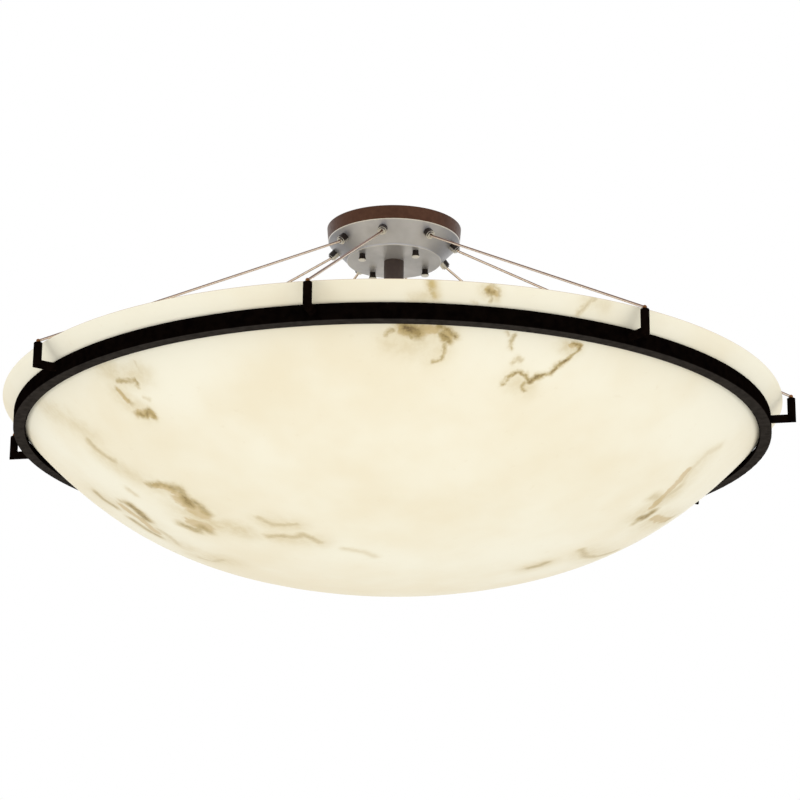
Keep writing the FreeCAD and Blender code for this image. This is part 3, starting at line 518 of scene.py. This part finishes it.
PATCHES = [     # filled, with ragged edges
    (8.0, 1.0, [(186, 500), (197, 508), (206, 515)]),
    (6.0, 1.0, [(198, 523), (212, 527)]),
    (4.0, 1.0, [(160, 485), (172, 488), (182, 494)]),
    (4.0, 1.0, [(121, 391), (129, 401)]),
    (5.5, 1.0, [(143, 414), (154, 415)]),
    (3.2, 1.0, [(692, 470), (680, 484), (668, 496), (656, 508)]),
    (4.0, 1.0, [(658, 518), (672, 520)]),
    (4.0, 1.0, [(128, 507), (146, 519), (162, 532)]),
    (8.0, 1.0, [(402, 329), (418, 331), (436, 329)]),
    (6.0, 1.0, [(446, 332), (449, 338)]),
    (5.0, 1.0, [(572, 344), (579, 346)]),
    (6.0, 1.0, [(489, 291), (495, 295)]),
]


BOWL_RIM_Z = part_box("bowl")[1][2]
RING_ROW, LOWEST_ROW = 320, 596         # image rows of the ring's underside and of the bowl's lowest point
LEAN_PIXELS = 7.0                       # the photographed bowl's lowest point, right of the ring's middle


def surface_point(pixel):
    """The point of the bowl under a pixel of the photograph, with the photographed bowl's lean taken out, and
    how much wider than a streak seen square on one is drawn there."""
    right, up, forward = camera_axes()
    x, y = pixel
    depth = max(0.0, (y - RING_ROW) / (LOWEST_ROW - RING_ROW))
    x -= LEAN_PIXELS * depth
    hit = False
    while not hit:
        ray = (forward * FOCAL_PIXELS + right * (x - IMAGE_SIZE / 2) - up * (y - IMAGE_SIZE / 2)).normalized()
        hit, point, normal, _ = NODES["bowl"].ray_cast(camera_place(), ray)
        x += math.copysign(1.0, IMAGE_SIZE / 2 - x)
        y -= 1.0 if y > RING_ROW else 0.0
    return point, min(WIDEST, max(1.0, FACING_SQUARE / abs(normal.dot(ray))))


def streak_group():
    """A node group: how strongly a streak colours a point, fading with distance over its width."""
    tree = bpy.data.node_groups.new("streak", "ShaderNodeTree")
    for name in ("Point", "Start", "Run", "Inverse"):
        tree.interface.new_socket(name, in_out="INPUT", socket_type="NodeSocketVector")
    for name in ("Width", "Strength"):
        tree.interface.new_socket(name, in_out="INPUT", socket_type="NodeSocketFloat")
    tree.interface.new_socket("Value", in_out="OUTPUT", socket_type="NodeSocketFloat")
    graph = Graph(tree)
    given = tree.nodes.new("NodeGroupInput").outputs
    away = graph.vector("SUBTRACT", given["Point"], given["Start"])
    share = graph.math("MINIMUM", graph.vector("DOT_PRODUCT", away, given["Inverse"]), 1.0)
    nearest = graph.scaled(given["Run"], graph.math("MAXIMUM", share, 0.0))
    ratio = graph.math("DIVIDE", graph.vector("DISTANCE", away, nearest), given["Width"])
    fall = graph.math("EXPONENT", graph.math("MULTIPLY", graph.math("MULTIPLY", ratio, ratio), -1.0))
    result = tree.nodes.new("NodeGroupOutput").inputs[0]
    tree.links.new(graph.math("MULTIPLY", fall, given["Strength"]), result)
    return tree


STREAK = streak_group()


def streaks(shader, where, chains, spread):
    """The strongest of several chains of streaks at a point."""
    strongest = None
    for width, strength, pixels in chains:
        spots = [surface_point(pixel) for pixel in pixels]
        for (start, wide_start), (end, wide_end) in zip(spots, spots[1:]):
            run = end - start
            node = shader.tree.nodes.new("ShaderNodeGroup")
            node.node_tree = STREAK
            shader.tree.links.new(where, node.inputs["Point"])
            node.inputs["Start"].default_value = start
            node.inputs["Run"].default_value = run
            node.inputs["Inverse"].default_value = run / run.length_squared
            node.inputs["Width"].default_value = width * spread * MM * (wide_start + wide_end) / 2
            node.inputs["Strength"].default_value = strength
            value = node.outputs[0]
            strongest = value if strongest is None else shader.math("MAXIMUM", strongest, value)
    return strongest


def marbled_resin():
    """Cream resin with ochre veins, ragged patches and soft clouds; the unseen back repeats the front's."""
    shader = Shader("marbled_resin")
    coarse = shader.vector("SUBTRACT", shader.noise(30.0, 4.0, 0.6, colour=True), (0.5, 0.5, 0.5))
    fine = shader.vector("SUBTRACT", shader.noise(140.0, 3.0, 0.6, colour=True), (0.5, 0.5, 0.5))
    front = shader.vector("DOT_PRODUCT", shader.place, FRONT)
    unseen = shader.math("LESS_THAN", front, -UNSEEN_BACK)
    half_turn = shader.math("SUBTRACT", 1.0, shader.math("MULTIPLY", unseen, 2.0))
    turned = shader.vector("MULTIPLY", shader.place, shader.combined(half_turn, half_turn, 1.0))
    bent = shader.vector("ADD", turned, shader.scaled(coarse, COARSE_WANDER))
    bent = shader.vector("ADD", bent, shader.scaled(fine, FINE_WANDER))
    core = streaks(shader, bent, VEINS, VEIN_SPREAD)
    cloud = streaks(shader, bent, CLOUDS, CLOUD_SPREAD)
    patch = streaks(shader, bent, PATCHES, 1.0)
    ragged = shader.between(shader.noise(60.0, 5.0, 0.65), 0.3, 0.7, -0.25, 0.25, False)
    patch = shader.between(shader.math("ADD", patch, ragged), 0.15, 0.65)
    patchy = shader.between(shader.noise(70.0, 5.0, 0.65), 0.3, 0.65, 0.55, 1.0)
    drift = shader.between(shader.noise(3.2, 4.0, 0.55), 0.35, 0.7)
    base = shader.mix(drift, RESIN_LIGHT, RESIN_WARM)
    fleck = shader.between(shader.noise(160.0, 4.0, 0.6), 0.42, 0.68, 0.5, 1.0)
    cloud = shader.math("MINIMUM", shader.math("MULTIPLY", cloud, CLOUD_STRENGTH), 1.0)
    halo = shader.math("MAXIMUM", shader.math("MULTIPLY", core, 0.95), shader.math("MULTIPLY", cloud, patchy))
    filled = shader.mix(patch, base, PATCH_TINT)
    tinted = shader.mix(halo, filled, VEIN_HALO)
    colour = shader.mix(shader.math("MULTIPLY", shader.math("POWER", core, 3.0), fleck), tinted, VEIN_CORE)
    height = shader.vector("DOT_PRODUCT", shader.place, UPWARDS)
    rim = shader.between(height, BOWL_RIM_Z - RIM_LINE, BOWL_RIM_Z - RIM_LINE / 2)
    colour = shader.mix(rim, colour, RESIN_RIM)
    shader.set(Base_Color=colour, Roughness=0.5, Specular_IOR_Level=0.12)
    shader.bump(shader.noise(9.0, 3.0), 0.05, 0.002)
    return shader.material


# ---------------------------------------------------------------- cables
CABLE_RADIUS = 2.0 * MM
STRANDS, STRAND_POINTS = 7, 4
STRAND_DEPTH = 0.12         # depth of the groove between two strands, as a share of the radius
STRAND_PITCH = 17.0 * MM    # along the cable, for one turn of the strands
CABLE_TAIL = 27.0 * MM      # from the release nose's mouth back into the canopy
ARM_COUNT = 8
ANCHOR_DOME = 3.2 * MM      # the dome's outermost and topmost points to where the cable ends
NOSE_REACH = 3.6 * MM       # middle of the release nose to its mouth
CABLE_BEND = 14.0 * MM      # radius of the one bend
TAIL_STEPS, BEND_STEPS, CABLE_STEPS = 18, 6, 380


def rope_section():
    """The section of a cable: strands laid side by side in a round."""
    points = []
    count = STRANDS * STRAND_POINTS
    for k in range(count):
        lobe = abs(math.cos(math.pi * k / STRAND_POINTS))
        radius = CABLE_RADIUS * (1 - STRAND_DEPTH + STRAND_DEPTH * lobe)
        angle = 2 * math.pi * k / count
        points.append((radius * math.cos(angle), radius * math.sin(angle)))
    return points


def cable_line():
    """The first cable's centre line: out along its grip, round one bend, then straight to its dome."""
    low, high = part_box("grip_plunger_1")
    nose = (Vector(low) + Vector(high)) / 2
    out = -Vector(JOINTS["grip_release_1_press"]["axis"])
    mouth = nose + out * NOSE_REACH
    _, anchor_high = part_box("cable_anchors")
    dome = Vector((anchor_high[0] - ANCHOR_DOME, 0, anchor_high[2] - ANCHOR_DOME))
    tail = mouth - out * CABLE_TAIL
    line = [tail.lerp(mouth, k / TAIL_STEPS) for k in range(TAIL_STEPS)]
    inwards = Vector((-out.z, 0, out.x))        # square to the grip, towards the bend's centre
    centre = mouth + inwards * CABLE_BEND
    to_dome = dome - centre
    lean = math.asin(CABLE_BEND / to_dome.length)
    turn = math.atan2(to_dome.z, to_dome.x) + lean - math.atan2(out.z, out.x)

    def on_bend(angle):
        return centre + (out * math.sin(angle) - inwards * math.cos(angle)) * CABLE_BEND

    line += [on_bend(turn * k / BEND_STEPS) for k in range(BEND_STEPS)]
    line += [on_bend(turn).lerp(dome, k / CABLE_STEPS) for k in range(CABLE_STEPS + 1)]
    return line


def add_cables(material):
    """All the cables in one mesh, in place of the CAD's plain round bars."""
    points, faces = swept(cable_line(), rope_section(), 2 * math.pi / STRAND_PITCH)
    shells = []
    for k in range(ARM_COUNT):
        turn = Matrix.Rotation(2 * math.pi * k / ARM_COUNT, 3, "Z")
        shells.append(([turn @ p for p in points], faces))
    new_piece("wire_ropes", joined("wire_ropes", shells), material, FIXED, "cable_steel", "suspension_cables")


# ---------------------------------------------------------------- pieces and finishes
def finish_surfaces():
    """Paints every CAD node, by its own name where that is listed and otherwise by its record slot, and
    returns the cables' finish."""
    bronze = satin_paint("dark_bronze", shade(0.002, 0.0011, 0.0009), shade(0.005, 0.0028, 0.002), 0.5, 0.0)
    stem = satin_paint("stem_bronze", shade(0.056, 0.041, 0.037), shade(0.068, 0.051, 0.045), 0.4, 0.1)
    brown = satin_paint("brown_bronze", shade(0.066, 0.028, 0.016), shade(0.085, 0.038, 0.022), 0.42, 0.3,
                        metallic=0.8)
    enamel = satin_paint("white_enamel", shade(0.76, 0.74, 0.7), shade(0.84, 0.83, 0.8), 0.3, 0.5)
    green = satin_paint("earth_green", shade(0.01, 0.16, 0.04), shade(0.03, 0.28, 0.08), 0.4, 0.5)
    rope = rope_with_painted_shade()
    zinc = plain_steel("zinc_steel", shade(0.42, 0.43, 0.45), shade(0.62, 0.62, 0.63), 0.35)
    brass = plain_steel("brass", shade(0.6, 0.38, 0.12), shade(0.8, 0.56, 0.22), 0.25)
    cap = plain_steel("cap_aluminium", shade(0.65, 0.65, 0.66), shade(0.8, 0.8, 0.8), 0.28)
    copper = plain_steel("copper_end", shade(0.10, 0.045, 0.018), shade(0.26, 0.11, 0.04), 0.35)
    # dark bronze with a painted reflection of the light from below on its down-facing faces
    painted_underlight = bronze_with_painted_underlight()
    finishes = {
        "dark_bronze": bronze, "brown_bronze": brown, "satin_nickel": spun_nickel(), "cable_steel": rope,
        "zinc_steel": zinc, "ground_green": green, "white_enamel": enamel, "porcelain": glazed_porcelain(),
        "brass": brass, "lamp_cap": cap, "bowl": marbled_resin(), "frosted_glass": frosted_glass(),
    }
    named = {"stem_tube": stem, "bowl_ring": ring_bronze(), "cable_grips": painted_underlight, "cable_anchors": copper}
    named.update({"thumb_nut_%d" % (k + 1): painted_underlight for k in range(4)})
    named.update({"grip_plunger_%d" % (k + 1): painted_underlight for k in range(8)})
    for part in frame["record"]["subparts"]:
        node, slot = part["node"], part["material_slot"]
        paint_node(node, named[node] if node in named else finishes[slot])
    return rope


# ---------------------------------------------------------------- studio
FLOOR_Z = -2.6
FLOOR_SIZE = 12.0
WORLD_LEVEL = 1.03          # of the light that the white surroundings give; they are seen at 1
LAMP_AIM = (0, 0, -0.35)
LAMPS = [   # place and width in metres, and power in watts
    ("key", (-2.6, -3.2, -1.4), 2.0, 9),
    ("fill", (3.2, -2.4, -1.0), 2.5, 13),
    ("top", (0.5, 2.0, 2.6), 2.5, 15),
    ("under", (0, -0.5, -2.5), 1.5, 7),
]


def add_floor():
    """A pale floor far below, clear when it is seen from underneath."""
    half = FLOOR_SIZE / 2
    corners = [(-half, -half, FLOOR_Z), (half, -half, FLOOR_Z), (half, half, FLOOR_Z), (-half, half, FLOOR_Z)]
    mesh = mesh_from("floor", corners, [(0, 1, 2, 3)], False)
    floor = bpy.data.objects.new("floor", mesh)
    bpy.context.scene.collection.objects.link(floor)
    shader = Shader("floor")
    tone = shader.mix(shader.noise(0.8), shade(0.78, 0.78, 0.77), shade(0.82, 0.82, 0.81))
    shader.set(Base_Color=tone, Roughness=0.8)
    backface = shader.tree.nodes.new("ShaderNodeNewGeometry").outputs["Backfacing"]
    clear = shader.tree.nodes.new("ShaderNodeBsdfTransparent")
    choice = shader.tree.nodes.new("ShaderNodeMixShader")
    shader.tree.links.new(backface, choice.inputs[0])
    shader.tree.links.new(shader.surface.outputs[0], choice.inputs[1])
    shader.tree.links.new(clear.outputs[0], choice.inputs[2])
    shader.tree.links.new(choice.outputs[0], shader.tree.nodes["Material Output"].inputs["Surface"])
    mesh.materials.append(shader.material)


def add_world():
    """White surroundings: one level for the light they give, and plain white where they are seen."""
    world = bpy.data.worlds.new("studio")
    bpy.context.scene.world = world
    world.use_nodes = True
    tree = world.node_tree
    path = tree.nodes.new("ShaderNodeLightPath")
    seen = path.outputs["Is Camera Ray"]
    for name in ("Is Glossy Ray", "Is Transmission Ray"):
        both = tree.nodes.new("ShaderNodeMath")
        both.operation = "MAXIMUM"
        tree.links.new(seen, both.inputs[0])
        tree.links.new(path.outputs[name], both.inputs[1])
        seen = both.outputs[0]
    level = tree.nodes.new("ShaderNodeMapRange")
    level.inputs["To Min"].default_value = WORLD_LEVEL
    level.inputs["To Max"].default_value = 1.0
    tree.links.new(seen, level.inputs["Value"])
    tree.links.new(level.outputs["Result"], tree.nodes["Background"].inputs["Strength"])
    tree.nodes["Background"].inputs["Color"].default_value = shade(1.0, 1.0, 1.0)


def add_lamp(name, place, size, power):
    """A round area lamp that faces the fixture."""
    data = bpy.data.lights.new(name, "AREA")
    data.shape = "DISK"
    data.size = size
    data.energy = power
    lamp = bpy.data.objects.new(name, data)
    lamp.location = place
    lamp.rotation_euler = (Vector(LAMP_AIM) - Vector(place)).to_track_quat("-Z", "Y").to_euler()
    bpy.context.scene.collection.objects.link(lamp)


add_cables(finish_surfaces())
add_floor()
add_world()
for lamp_row in LAMPS:
    add_lamp(*lamp_row)

bpy.context.scene.view_settings.view_transform = "Standard"
